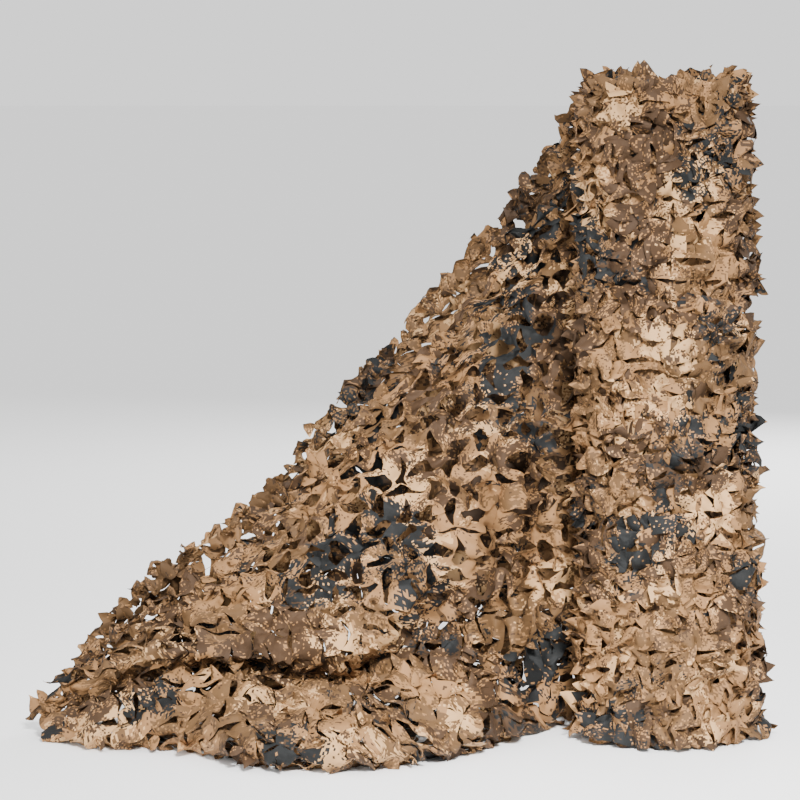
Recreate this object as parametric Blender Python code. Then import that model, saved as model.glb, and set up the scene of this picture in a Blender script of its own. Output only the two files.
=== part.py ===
"""Leaf-cut camouflage netting: a doubled net wound into a roll that stands on its end, with both plies of its
loose length drawn off the back.

Metres, +Z up. The origin is on the roll's axis, at the surface it stands on. The plies run to -X, hang from
the roll by their upper selvages and pile on the floor, the front ply towards -Y and the back ply towards +Y.
"""
import math
import random

import bmesh
import bpy
import numpy as np

# ---- Driving dimensions -------------------------------------------------------------------------------
NET_WIDTH = 1.500            # over the leaf tips of both selvages, and so the height of the standing roll
CUT_PITCH = 0.050            # distance between neighbouring leaf cuts in the relaxed net
PIECE_GAP = 0.0003           # between two pieces that rest on each other

# Wound roll
ROLL_RADIUS = 0.198          # to the cloth between the leaves of the outer turn
LEAF_RISE_LEAST = 0.005      # how far a turned-out leaf stands off the outer turn
LEAF_RISE_MOST = 0.012
LEAF_PLACE = (0.3, 0.7)      # a leaf peaks in this middle part of its cell
WALL_ROUGHNESS = 0.003       # uneven winding, either way
FOOT_FLARE = 0.016           # the lower selvage spreads under the roll's weight
FOOT_FLARE_HEIGHT = 0.22
SWELL = 0.004                # slack turns swell and draw in along the roll
SEAT_Y = 0.192               # flat of the outer turn where the plies leave it
RIM_TIP = 0.026              # leaf tips that stand above the upper selvage
RIM_DROP = 0.014             # the wound ends lie this far below the selvage of the outer turn
WOUND_STEP = 0.010           # height of the spiral ridge across the wound ends
WOUND_PITCH = 0.050          # radial distance between two ridges of that spiral
WOUND_RINGS = 7
WALL_COLUMNS = 28
WALL_HEIGHT = NET_WIDTH - RIM_TIP
WALL_ROWS = round(WALL_HEIGHT / CUT_PITCH)

# Plies
PLY_THICKNESS = 0.003
CRUMPLE = 0.007              # leaves and creases lift the cloth by this much, either way
CRUMPLE_CLEAR_Z = 0.022      # cloth below this height lies level on the floor
SELVAGE_TIP = 0.018          # leaf tips along the upper selvage
SECTION_SAMPLES = 160        # steps in which a section's length is measured
SEAT_COLUMNS = 4             # columns at the roll with no open cuts
CUT_HALF_LONG = 0.40         # a stretched cut's half length and half width, in quads
CUT_HALF_SHORT = 0.26

FLOOR_Z = PLY_THICKNESS / 2
FRONT_SEAT = SEAT_Y + PIECE_GAP + PLY_THICKNESS / 2
BACK_SEAT = FRONT_SEAT + PLY_THICKNESS + PIECE_GAP
SEAT_FLAT_X = -0.065         # the plies lie flat on their seats up to here
SEAT_END_X = -0.135          # and are clear of the roll beyond this

# A section is the line that one thread across the width takes. From the upper selvage (top) it hangs to the
# outside of an overhanging fold (brow), tucks in (crease), rolls over a mound (lobe), meets the floor (toe)
# and turns back under the mound to the lower selvage (tail). One row a section, from the roll outwards.
SECTION_COLUMNS = ("top_x", "top_y", "top_z", "foot_x", "brow_y", "brow_z", "crease_y", "crease_z",
                   "lobe_y", "lobe_z", "toe_y", "toe_z", "tail_y")


def seated_section(x, y, top_z):
    """A section that lies straight down the roll's seat."""
    return (x, y, top_z, x, y, 0.90, y, 0.62, y, 0.38, y, 0.16, y)


FRONT_SECTIONS = (
    seated_section(0.030, FRONT_SEAT, 1.470),
    seated_section(-0.060, FRONT_SEAT, 1.450),
    (-0.200, 0.200, 1.300, -0.200, 0.190, 0.84, 0.185, 0.58, 0.170, 0.35, 0.150, 0.14, 0.190),
    (-0.290, 0.190, 1.165, -0.275, 0.130, 0.76, 0.130, 0.50, 0.100, 0.29, 0.050, 0.11, 0.120),
    (-0.380, 0.175, 1.055, -0.355, 0.070, 0.66, 0.070, 0.42, 0.010, 0.24, -0.110, 0.08, 0.060),
    (-0.490, 0.150, 0.910, -0.455, 0.000, 0.52, 0.005, 0.32, -0.100, 0.19, -0.300, 0.05, -0.020),
    (-0.600, 0.130, 0.805, -0.560, -0.075, 0.35, -0.040, 0.22, -0.185, 0.16, -0.400, 0.045, -0.100),
    (-0.730, 0.100, 0.675, -0.680, -0.140, 0.23, -0.085, 0.14, -0.230, 0.135, -0.475, 0.045, -0.120),
    (-0.870, 0.080, 0.515, -0.810, -0.145, 0.21, -0.085, 0.13, -0.230, 0.135, -0.470, 0.045, -0.110),
    (-1.000, 0.060, 0.390, -0.945, -0.125, 0.21, -0.065, 0.14, -0.205, 0.145, -0.425, 0.050, -0.060),
    (-1.100, 0.050, 0.330, -1.045, -0.105, 0.205, -0.045, 0.145, -0.145, 0.150, -0.285, 0.050, 0.030),
    (-1.210, 0.035, 0.255, -1.150, -0.090, 0.190, -0.030, 0.135, -0.110, 0.140, -0.205, 0.050, 0.060),
    (-1.320, 0.030, 0.170, -1.265, -0.060, 0.135, -0.015, 0.090, -0.100, 0.095, -0.195, 0.035, 0.030),
    (-1.442, 0.040, 0.045, -1.395, 0.000, 0.048, 0.012, 0.036, -0.030, 0.034, -0.085, 0.015, -0.030),
)
BACK_SECTIONS = (
    seated_section(0.030, BACK_SEAT, 1.480),
    seated_section(-0.060, BACK_SEAT, 1.470),
    (-0.200, 0.232, 1.420, -0.200, 0.250, 0.84, 0.255, 0.58, 0.260, 0.33, 0.268, 0.12, 0.275),
    (-0.260, 0.235, 1.315, -0.255, 0.255, 0.75, 0.258, 0.50, 0.270, 0.27, 0.290, 0.09, 0.260),
    (-0.330, 0.225, 1.210, -0.320, 0.250, 0.62, 0.250, 0.38, 0.290, 0.19, 0.340, 0.06, 0.220),
    (-0.450, 0.205, 1.075, -0.440, 0.250, 0.45, 0.240, 0.27, 0.320, 0.15, 0.400, 0.045, 0.200),
    (-0.600, 0.180, 0.895, -0.580, 0.260, 0.27, 0.210, 0.17, 0.310, 0.14, 0.420, 0.045, 0.160),
    (-0.750, 0.155, 0.740, -0.720, 0.260, 0.22, 0.200, 0.14, 0.300, 0.13, 0.400, 0.045, 0.140),
    (-0.870, 0.135, 0.580, -0.840, 0.240, 0.20, 0.180, 0.13, 0.270, 0.125, 0.360, 0.040, 0.130),
    (-1.000, 0.120, 0.465, -0.970, 0.210, 0.18, 0.160, 0.12, 0.230, 0.115, 0.310, 0.040, 0.120),
    (-1.150, 0.105, 0.365, -1.120, 0.180, 0.17, 0.140, 0.11, 0.200, 0.105, 0.260, 0.035, 0.115),
    (-1.270, 0.100, 0.235, -1.245, 0.145, 0.14, 0.125, 0.09, 0.165, 0.080, 0.210, 0.030, 0.115),
    (-1.370, 0.110, 0.095, -1.350, 0.125, 0.065, 0.130, 0.045, 0.145, 0.028, 0.165, 0.015, 0.190),
)

# Folds that run over several sections: ridges (rise > 0, towards -Y) and troughs between two points of the
# drape, seen from the front as x and height.
FOLD_COLUMNS = ("x_a", "z_a", "x_b", "z_b", "half_width", "rise")
FRONT_FOLDS = (
    (-0.250, 0.02, -0.235, 0.80, 0.030, 0.026),
    (-0.300, 0.02, -0.285, 0.66, 0.026, -0.022),
    (-0.350, 0.02, -0.335, 0.60, 0.028, 0.030),
    (-0.400, 0.06, -0.380, 0.56, 0.026, -0.020),
    (-0.450, 0.10, -0.425, 0.62, 0.030, 0.026),
    (-0.720, 0.20, -0.440, 0.42, 0.034, 0.024),
    (-0.800, 0.32, -0.520, 0.62, 0.045, 0.016),
    (-0.620, 0.40, -0.360, 0.86, 0.050, -0.012),
    (-1.180, 0.20, -0.940, 0.30, 0.040, 0.014),
)
BACK_FOLDS = (
    (-0.300, 0.10, -0.290, 0.90, 0.050, -0.020),
    (-0.520, 0.08, -0.480, 0.70, 0.060, -0.022),
    (-0.780, 0.10, -0.720, 0.55, 0.060, -0.020),
    (-1.020, 0.08, -0.990, 0.36, 0.050, -0.015),
)

PLY_COLUMNS = ("name", "sections", "folds", "columns", "rows", "open_rows", "seed")
PLIES = (
    ("front_ply", FRONT_SECTIONS, FRONT_FOLDS, 32, 26, 12, 23),
    ("back_ply", BACK_SECTIONS, BACK_FOLDS, 26, 22, 6, 37),
)


def clear_scene():
    for thing in list(bpy.data.objects):
        bpy.data.objects.remove(thing, do_unlink=True)


def cloth_material(name, colour, roughness):
    material = bpy.data.materials.new(name)
    material.use_nodes = True
    shader = material.node_tree.nodes["Principled BSDF"]
    shader.inputs["Base Color"].default_value = (*colour, 1.0)
    shader.inputs["Roughness"].default_value = roughness
    shader.inputs["Metallic"].default_value = 0.0
    return material


def add_solid(name, points, faces, material):
    """One closed object from points and faces, with its faces turned outwards."""
    mesh = bpy.data.meshes.new(name)
    mesh.from_pydata([tuple(point) for point in points], [], faces)
    shape = bmesh.new()
    shape.from_mesh(mesh)
    bmesh.ops.recalc_face_normals(shape, faces=shape.faces)
    bmesh.ops.triangulate(shape, faces=shape.faces)
    shape.to_mesh(mesh)
    shape.free()
    mesh.materials.append(material)
    thing = bpy.data.objects.new(name, mesh)
    bpy.context.scene.collection.objects.link(thing)
    return thing


# ---- Wound roll ---------------------------------------------------------------------------------------
def wall_point(column, row, lift, rise):
    """A point of the outer turn, lifted off its cloth, and raised along the axis."""
    angle = 2 * math.pi * column / WALL_COLUMNS
    height = WALL_HEIGHT * row / WALL_ROWS
    flare = FOOT_FLARE * math.exp(-height / FOOT_FLARE_HEIGHT)
    swell = SWELL * math.sin(2 * angle + 4 * math.pi * height / WALL_HEIGHT)
    radius = ROLL_RADIUS + lift + flare + swell
    return (radius * math.cos(angle), min(radius * math.sin(angle), SEAT_Y), height + rise)


def wall_corners(dice):
    """Rings of corners up the outer turn. The lowest ring is level, the highest ends in leaf tips."""
    rings = []
    for row in range(WALL_ROWS + 1):
        ring = []
        for column in range(WALL_COLUMNS):
            lift = dice.uniform(-WALL_ROUGHNESS, WALL_ROUGHNESS)
            rise = RIM_TIP * dice.random() if row == WALL_ROWS else 0.0
            ring.append(wall_point(column, row, lift, rise))
        rings.append(ring)
    return rings


def wound_level(radius, angle):
    """Height of the wound ends, which climb in one shallow spiral ridge from the middle to the outside."""
    phase = (radius / WOUND_PITCH - angle / (2 * math.pi)) % 1.0
    ridge = 1.0 - abs(2.0 * phase - 1.0)
    return WALL_HEIGHT - RIM_DROP + WOUND_STEP * (ridge - 0.5)


def add_leaves(points, faces, rings, dice):
    """Each cut of the net holds one leaf, which peaks away from the middle of its cell."""
    for row in range(WALL_ROWS):
        for column in range(WALL_COLUMNS):
            following = (column + 1) % WALL_COLUMNS
            lift = dice.uniform(LEAF_RISE_LEAST, LEAF_RISE_MOST)
            peak = len(points)
            points.append(wall_point(column + dice.uniform(*LEAF_PLACE), row + dice.uniform(*LEAF_PLACE),
                                     lift, 0.0))
            outline = (rings[row][column], rings[row][following],
                       rings[row + 1][following], rings[row + 1][column])
            for side in range(4):
                faces.append((outline[side], outline[(side + 1) % 4], peak))


def add_wound_end(points, faces, rim):
    """Rings from the rim to the middle of the upper end. Returns the innermost ring."""
    outer = rim
    for ring_number in range(1, WOUND_RINGS + 1):
        radius = ROLL_RADIUS * (1 - ring_number / (WOUND_RINGS + 1))
        inner = list(range(len(points), len(points) + WALL_COLUMNS))
        for column in range(WALL_COLUMNS):
            angle = 2 * math.pi * column / WALL_COLUMNS
            points.append((radius * math.cos(angle), radius * math.sin(angle), wound_level(radius, angle)))
        for column in range(WALL_COLUMNS):
            following = (column + 1) % WALL_COLUMNS
            faces.append((outer[column], outer[following], inner[following], inner[column]))
        outer = inner
    return outer


def build_wound_roll():
    dice = random.Random(11)
    points = []
    faces = []
    rings = []
    for ring in wall_corners(dice):
        rings.append(list(range(len(points), len(points) + WALL_COLUMNS)))
        points.extend(ring)
    add_leaves(points, faces, rings, dice)
    innermost = add_wound_end(points, faces, rings[-1])
    centre_top = len(points)
    points.append((0.0, 0.0, WALL_HEIGHT - RIM_DROP))
    centre_base = len(points)
    points.append((0.0, 0.0, 0.0))
    for column in range(WALL_COLUMNS):
        following = (column + 1) % WALL_COLUMNS
        faces.append((innermost[column], innermost[following], centre_top))
        faces.append((rings[0][following], rings[0][column], centre_base))
    return add_solid("wound_roll", points, faces, cloth_material("wound_net", (0.36, 0.27, 0.18), 0.92))


# ---- Plies of the loose length ------------------------------------------------------------------------
def smooth_rows(rows, knots, wanted):
    """A Catmull-Rom curve through rows at uneven knots, read at the wanted places."""
    gaps = np.diff(knots)[:, None]
    rises = np.diff(rows, axis=0) / gaps
    inner = (rises[:-1] * gaps[1:] + rises[1:] * gaps[:-1]) / (gaps[:-1] + gaps[1:])
    slopes = np.vstack((rises[:1], inner, rises[-1:]))
    span = np.clip(np.searchsorted(knots, wanted, side="right") - 1, 0, len(knots) - 2)
    gap = gaps[span]
    part = ((wanted - knots[span]) / gap[:, 0])[:, None]
    start = rows[span] * (2 * part ** 3 - 3 * part ** 2 + 1)
    end = rows[span + 1] * (3 * part ** 2 - 2 * part ** 3)
    start_slope = slopes[span] * gap * (part ** 3 - 2 * part ** 2 + part)
    end_slope = slopes[span + 1] * gap * (part ** 3 - part ** 2)
    return start + start_slope + end + end_slope


def section_points(section):
    """Points of one section, from the upper selvage to the lower one, as x, y and z."""
    part = dict(zip(SECTION_COLUMNS, section))
    lean = part["foot_x"] - part["top_x"]
    panel_y = part["top_y"] + 0.40 * (part["brow_y"] - part["top_y"])
    panel_z = part["top_z"] + 0.50 * (part["brow_z"] - part["top_z"])
    heel_y = part["toe_y"] + 0.22 * (part["tail_y"] - part["toe_y"])
    heel_z = FLOOR_Z + 0.12 * part["toe_z"]
    return np.array((
        (part["top_x"], part["top_y"], part["top_z"]),
        (part["top_x"] + 0.3 * lean, panel_y, panel_z),
        (part["top_x"] + 0.6 * lean, part["brow_y"], part["brow_z"]),
        (part["top_x"] + 0.7 * lean, part["crease_y"], part["crease_z"]),
        (part["top_x"] + 0.8 * lean, part["lobe_y"], part["lobe_z"]),
        (part["foot_x"], part["toe_y"], part["toe_z"]),
        (part["foot_x"], heel_y, heel_z),
        (part["foot_x"], part["tail_y"], FLOOR_Z),
    ))


def even_section(section, rows):
    """A section read at even lengths of its thread."""
    points = section_points(section)
    steps = np.linalg.norm(np.diff(points, axis=0), axis=1)
    knots = np.concatenate(((0.0,), np.cumsum(np.sqrt(steps))))
    line = smooth_rows(points, knots, np.linspace(0.0, knots[-1], SECTION_SAMPLES))
    length = np.concatenate(((0.0,), np.cumsum(np.linalg.norm(np.diff(line, axis=0), axis=1))))
    wanted = np.linspace(0.0, length[-1], rows + 1)
    return np.stack([np.interp(wanted, length, line[:, axis]) for axis in range(3)], axis=1)


def fold_rise(folds, x, z):
    """Sum of the folds that cross the sections, at points of the drape."""
    total = np.zeros_like(x)
    for row in folds:
        fold = dict(zip(FOLD_COLUMNS, row))
        run_x = fold["x_b"] - fold["x_a"]
        run_z = fold["z_b"] - fold["z_a"]
        along = ((x - fold["x_a"]) * run_x + (z - fold["z_a"]) * run_z) / (run_x ** 2 + run_z ** 2)
        held = np.clip(along, 0.0, 1.0)
        away = np.hypot(x - fold["x_a"] - held * run_x, z - fold["z_a"] - held * run_z)
        total += fold["rise"] * np.exp(-(away / fold["half_width"]) ** 2)
    return total


def surface_normals(grid):
    """Unit normals of a grid of points, on the side that faces -Y where the cloth hangs."""
    normals = np.cross(np.gradient(grid, axis=0), np.gradient(grid, axis=1))
    return normals / np.linalg.norm(normals, axis=2, keepdims=True)


def drape_grid(ply):
    """Middle of a ply as a grid: its sections, with the folds that cross them."""
    table = np.array(ply["sections"])
    knots = -table[:, 0]
    wanted = np.linspace(knots[0], knots[-1], ply["columns"] + 1)
    sections = smooth_rows(table, knots, wanted)
    grid = np.stack([even_section(section, ply["rows"]) for section in sections])
    lifted = grid[:, :, 2] > CRUMPLE_CLEAR_Z
    rise = fold_rise(ply["folds"], grid[:, :, 0], grid[:, :, 2])
    grid[:, :, 1] -= np.where(lifted, rise, 0.0)
    return grid


def crumple(grid, seat, dice):
    """Lifts and dents the cloth, leaves its seat flat, and keeps all of it on or above the floor."""
    normals = surface_normals(grid)
    for column in range(grid.shape[0]):
        for row in range(grid.shape[1]):
            offset = dice.uniform(-CRUMPLE, CRUMPLE)
            tip = dice.uniform(0.0, SELVAGE_TIP)
            point = grid[column, row]
            if point[0] < SEAT_END_X and point[2] > CRUMPLE_CLEAR_Z:
                point += offset * normals[column, row]
            if row == 0 and column >= SEAT_COLUMNS:
                upward = point - grid[column, 1]
                point += tip * upward / np.linalg.norm(upward)
    near = grid[:, :, 0] > SEAT_END_X
    grid[:, :, 1] = np.where(near, np.maximum(grid[:, :, 1], seat), grid[:, :, 1])
    grid[:, :, 1] = np.where(grid[:, :, 0] > SEAT_FLAT_X, seat, grid[:, :, 1])
    grid[:, :, 2] = np.maximum(grid[:, :, 2], FLOOR_Z)


def cut_corners(column, row, corners):
    """Corners of the diamond that a stretched cut opens, long one way or the other by turns."""
    middle = sum(corners) / 4
    along = (corners[1] + corners[2] - corners[3] - corners[0]) / 2
    across = (corners[2] + corners[3] - corners[0] - corners[1]) / 2
    long_way = (column // 2 + row // 2) % 2 == 0
    half_along = CUT_HALF_LONG if long_way else CUT_HALF_SHORT
    half_across = CUT_HALF_SHORT if long_way else CUT_HALF_LONG
    return (middle - across * half_across, middle + along * half_along,
            middle + across * half_across, middle - along * half_along)


class TwoFacedCloth:
    """Points and faces of a closed sheet. A point of the back has the number of its front point plus one."""

    def __init__(self):
        self.points = []
        self.faces = []

    def add_point(self, point, normal):
        self.points.append(point + normal * PLY_THICKNESS / 2)
        self.points.append(point - normal * PLY_THICKNESS / 2)
        return len(self.points) - 2

    def add_cloth(self, *corners):
        self.faces.append(corners)
        self.faces.append(tuple(number + 1 for number in reversed(corners)))

    def add_edge(self, start, end):
        self.faces.append((end, start, start + 1))
        self.faces.append((end, start + 1, end + 1))


def build_ply(ply):
    grid = drape_grid(ply)
    crumple(grid, ply["sections"][0][1], random.Random(ply["seed"]))
    normals = surface_normals(grid)
    columns = ply["columns"]
    rows = ply["rows"]
    cloth = TwoFacedCloth()
    numbers = [[cloth.add_point(grid[column, row], normals[column, row]) for row in range(rows + 1)]
               for column in range(columns + 1)]
    for column in range(columns):
        for row in range(rows):
            places = ((column, row), (column + 1, row), (column + 1, row + 1), (column, row + 1))
            corners = [numbers[place[0]][place[1]] for place in places]
            # Every second quad each way holds one stretched cut, where the ply is pulled tight.
            pulled = SEAT_COLUMNS <= column < columns - 3 and 1 <= row < ply["open_rows"]
            if not (pulled and column % 2 == 0 and row % 2 == 1):
                cloth.add_cloth(corners[0], corners[1], corners[2])
                cloth.add_cloth(corners[0], corners[2], corners[3])
                continue
            diamond = cut_corners(column, row, [grid[place] for place in places])
            hole = [cloth.add_point(point, normals[column, row]) for point in diamond]
            for side in range(4):
                following = (side + 1) % 4
                cloth.add_cloth(corners[side], corners[following], hole[side])
                cloth.add_cloth(corners[following], hole[following], hole[side])
                cloth.add_edge(hole[following], hole[side])
    for column in range(columns):
        cloth.add_edge(numbers[column][0], numbers[column + 1][0])
        cloth.add_edge(numbers[column + 1][rows], numbers[column][rows])
    for row in range(rows):
        cloth.add_edge(numbers[0][row + 1], numbers[0][row])
        cloth.add_edge(numbers[columns][row], numbers[columns][row + 1])
    colours = cloth_material(ply["name"] + "_net", (0.40, 0.30, 0.20), 0.92)
    return add_solid(ply["name"], cloth.points, cloth.faces, colours)


clear_scene()
build_wound_roll()
for row in PLIES:
    build_ply(dict(zip(PLY_COLUMNS, row)))
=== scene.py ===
"""Looks of the leaf-cut camouflage netting: the standing roll and the two plies of its loose length."""
import math

import bpy
import numpy as np
from mathutils import Euler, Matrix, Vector


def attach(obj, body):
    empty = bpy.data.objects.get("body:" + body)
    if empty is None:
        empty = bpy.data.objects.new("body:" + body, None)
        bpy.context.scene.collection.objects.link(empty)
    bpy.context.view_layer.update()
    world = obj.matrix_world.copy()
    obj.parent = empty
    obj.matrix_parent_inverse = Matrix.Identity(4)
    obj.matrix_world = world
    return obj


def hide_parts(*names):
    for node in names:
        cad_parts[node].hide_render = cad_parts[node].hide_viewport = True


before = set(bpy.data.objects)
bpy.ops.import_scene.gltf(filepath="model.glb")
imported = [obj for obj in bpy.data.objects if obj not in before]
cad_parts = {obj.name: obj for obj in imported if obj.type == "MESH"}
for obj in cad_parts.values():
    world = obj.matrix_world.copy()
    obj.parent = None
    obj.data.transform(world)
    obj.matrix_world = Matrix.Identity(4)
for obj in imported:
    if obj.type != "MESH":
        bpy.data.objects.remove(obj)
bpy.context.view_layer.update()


# ==== Printed cloth =====================================================================================
# The whole net is one plain-woven polyester cloth, printed on both sides in small squares of tan, khaki,
# brown and slate, then die-cut into leaves. The print follows the "print_place" attribute, which is each
# point's place on the flat cloth in metres.
class Socket:
    """Wraps a shader socket, so that an expression on wrapped values adds its Math nodes."""

    def __init__(self, tree, socket):
        self.tree = tree
        self.socket = socket

    def math(self, operation, *others, clamp=False):
        """A Math node on this value and the others, which may be sockets or numbers."""
        node = self.tree.nodes.new("ShaderNodeMath")
        node.operation = operation
        node.use_clamp = clamp
        for place, value in enumerate((self, *others)):
            if isinstance(value, Socket):
                self.tree.links.new(value.socket, node.inputs[place])
            else:
                node.inputs[place].default_value = value
        return Socket(self.tree, node.outputs[0])

    def __add__(self, other):
        return self.math("ADD", other)

    def __sub__(self, other):
        return self.math("SUBTRACT", other)

    def __mul__(self, other):
        return self.math("MULTIPLY", other)

    def __rsub__(self, other):
        return (self - other) * -1.0

    __radd__ = __add__
    __rmul__ = __mul__

    def over(self, level):
        """1 where the value is over a level, 0 elsewhere."""
        return self.math("GREATER_THAN", level)

    def held(self):
        """The value, kept between 0 and 1."""
        return self.math("ADD", 0.0, clamp=True)


class ClothNodes:
    """A material's node tree, with one method that adds any node."""

    def __init__(self, name):
        self.material = bpy.data.materials.new(name)
        self.material.use_nodes = True
        self.tree = self.material.node_tree
        self.shader = self.tree.nodes["Principled BSDF"]

    def add(self, kind, settings=None, output=0, **values):
        """A node with its settings, and values or links for its inputs, by name."""
        node = self.tree.nodes.new(kind)
        for key, value in (settings or {}).items():
            setattr(node, key, value)
        for key, value in values.items():
            self.feed(node.inputs[key.replace("_", " ")], value)
        return Socket(self.tree, node.outputs[output])

    def feed(self, target, value):
        if isinstance(value, Socket):
            self.tree.links.new(value.socket, target)
        else:
            target.default_value = value

    def on_vector(self, operation, vector, fixed):
        """A Vector Math node on a vector and a fixed one."""
        result = self.add("ShaderNodeVectorMath", {"operation": operation})
        self.feed(result.socket.node.inputs[0], vector)
        self.feed(result.socket.node.inputs[1], fixed)
        return result

    def blend(self, factor, first, second):
        """A mix of two colours."""
        node = self.tree.nodes.new("ShaderNodeMix")
        node.data_type = "RGBA"
        self.feed(node.inputs[0], factor)
        self.feed(node.inputs[6], first)
        self.feed(node.inputs[7], second)
        return Socket(self.tree, node.outputs[2])


SCREEN_GAMMA = 2.2


def linear(red, green, blue):
    """A shade given on the 0 to 255 scale of a screen, as the shader takes it."""
    return tuple((level / 255.0) ** SCREEN_GAMMA for level in (red, green, blue)) + (1.0,)


# The print's squares and shades, and the levels of a random value for each square past which single squares
# are tan, brown, or left as they are within slate.
PRINT_SQUARE = 0.0042
TAN = linear(126, 91, 55)
SAND = linear(166, 128, 84)
KHAKI = linear(88, 64, 38)
BROWN = linear(62, 45, 29)
SLATE = linear(29, 30, 30)
TAN_FLECK_LEVEL = 0.83
BROWN_FLECK_LEVEL = 0.07
SLATE_FLECK_LEVEL = 0.975
PRINT_ROUGHNESS = 0.62
BLOTCH_CROSS_SHIFT = 0.37
SPECKLE_CROSS_SHIFT = 0.61

# Brightness and roughness go from the least value up in soft random patches; the brightness patches are
# painted shade, standing in for cloth turned different ways to the light. Heights of the relief are in
# metres.
CLOTH_SATURATION = 0.94
LEAST_BRIGHTNESS = 0.63
BRIGHTNESS_RANGE = 0.70
LEAST_ROUGHNESS = 0.66
ROUGHNESS_RANGE = 0.16
CLOTH_SPECULAR = 0.22
THREAD_SCALE = 420.0
THREAD_WANDER = 0.4
THREAD_HEIGHT = 0.00008
CREASE_HEIGHT = 0.0022
FACET_HEIGHT = 0.0042
RELIEF_STRENGTH = 0.75


def printed_cloth(name, shade):
    """The print in squares, the weave and the creases of handling. shade darkens the whole colour, as painted
    shade.
    """
    cloth = ClothNodes(name)
    place = cloth.add("ShaderNodeAttribute", {"attribute_name": "print_place"}, output=1)
    squares = cloth.on_vector("SNAP", place, (PRINT_SQUARE,) * 3)

    def speckle(shift):
        """A random value for each square of the print."""
        moved = cloth.on_vector("ADD", squares, (shift, shift * SPECKLE_CROSS_SHIFT, 0.0))
        return cloth.add("ShaderNodeTexWhiteNoise", {"noise_dimensions": "3D"}, Vector=moved)

    def blotches(scale, detail, shift, level, fray=None):
        """1 where one shade is printed, in blotches whose edges may be frayed by a random value."""
        moved = cloth.on_vector("ADD", squares, (shift, shift * BLOTCH_CROSS_SHIFT, 0.0))
        cloud = cloth.add("ShaderNodeTexNoise", {"noise_dimensions": "2D"}, Vector=moved, Scale=scale,
                          Detail=detail, Roughness=PRINT_ROUGHNESS)
        if fray is not None:
            cloud = cloud + fray
        return cloud.over(level)

    grain = speckle(shift=3.1)
    flecks = speckle(shift=7.7)
    sand = blotches(scale=5.0, detail=4.0, shift=1.3, level=0.588, fray=grain * 0.085)
    khaki = blotches(scale=5.5, detail=4.5, shift=5.9, level=0.573, fray=grain * 0.095)
    brown = blotches(scale=5.0, detail=4.5, shift=9.2, level=0.59, fray=flecks * 0.10)
    slate = blotches(scale=3.9, detail=4.0, shift=14.6, level=0.645, fray=grain * 0.08)
    busy = blotches(scale=15.0, detail=2.0, shift=21.0, level=0.48)
    colour = TAN
    for mask, printed in ((sand, SAND), (khaki, KHAKI), (brown, BROWN),
                          (flecks.over(TAN_FLECK_LEVEL) * busy * khaki.math("MAXIMUM", brown), TAN),
                          ((1 - flecks.over(BROWN_FLECK_LEVEL)) * busy, BROWN),
                          (slate * (1 - flecks.over(SLATE_FLECK_LEVEL)), SLATE)):
        colour = cloth.blend(mask, colour, printed)

    # Soft random patches: their brightness is painted shade for cloth turned different ways to the light, and
    # they also vary the roughness.
    shade_and_roughness_patches = cloth.add("ShaderNodeTexNoise", {"noise_dimensions": "3D"}, Vector=place, Scale=5.0, Detail=4.0)
    brightness = (shade_and_roughness_patches * BRIGHTNESS_RANGE + LEAST_BRIGHTNESS) * shade
    faded = cloth.add("ShaderNodeHueSaturation", Saturation=CLOTH_SATURATION, Value=brightness, Color=colour)
    threads, picks = [cloth.add("ShaderNodeTexWave", {"wave_type": "BANDS", "bands_direction": direction},
                                Vector=place, Scale=THREAD_SCALE, Distortion=THREAD_WANDER)
                      for direction in "XY"]
    crease = cloth.add("ShaderNodeTexNoise", {"noise_dimensions": "3D"}, Vector=place, Scale=48.0, Detail=4.0,
                       Roughness=0.6)
    facets = cloth.add("ShaderNodeTexVoronoi", {"voronoi_dimensions": "3D", "feature": "F1"}, Vector=place,
                       Scale=44.0)
    height = crease * CREASE_HEIGHT + facets * FACET_HEIGHT + (threads * picks) * THREAD_HEIGHT
    bump = cloth.add("ShaderNodeBump", Height=height, Strength=RELIEF_STRENGTH, Distance=1.0)
    cloth.feed(cloth.shader.inputs["Base Color"], faded)
    cloth.feed(cloth.shader.inputs["Roughness"], (shade_and_roughness_patches * ROUGHNESS_RANGE + LEAST_ROUGHNESS).held())
    cloth.feed(cloth.shader.inputs["Normal"], bump)
    cloth.shader.inputs["Metallic"].default_value = 0.0
    cloth.shader.inputs["Specular IOR Level"].default_value = CLOTH_SPECULAR
    return cloth.material


open_cloth = printed_cloth("printed_cloth", shade=1.0)
# The back ply's cloth is darkened as painted shade, for the shadow it lies in behind the front ply and seen
# through its holes.
painted_shade_cloth = printed_cloth("printed_cloth_painted_shade", shade=0.66)


# ==== Leaf cuts =========================================================================================
# The net is cut on a square lattice. A short cut with a point or a bow runs through every lattice point,
# lengthwise and crosswise by turns, and bridges of cloth stay between the cuts. Pulled, the cells turn and
# the cuts gape; the tongue inside each cut, the leaf, curls out of the cloth.
NET_WIDTH = 1.500
NET_ROWS = 29
CUT_PITCH = NET_WIDTH / NET_ROWS

# Least and most of what differs from cut to cut. Lengths are in cells, the bow is a share of the leaf's
# depth, and lifts and pulls are shares of the net's own.
LEAF_DEPTH = (0.20, 0.42)
LEAF_BOW = (-0.50, 0.85)
CUT_WANDER = (-0.09, 0.09)
SELVAGE_TIP = (0.2, 1.0)
END_TIP = (0.1, 0.5)
USUAL_LIFT = (0.35, 1.0)
WEAKER_LIFT = (0.1, 0.6)
OPPOSITE_LIFT = (-0.45, 0.15)
PULL_SPREAD = (0.6, 1.4)

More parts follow.
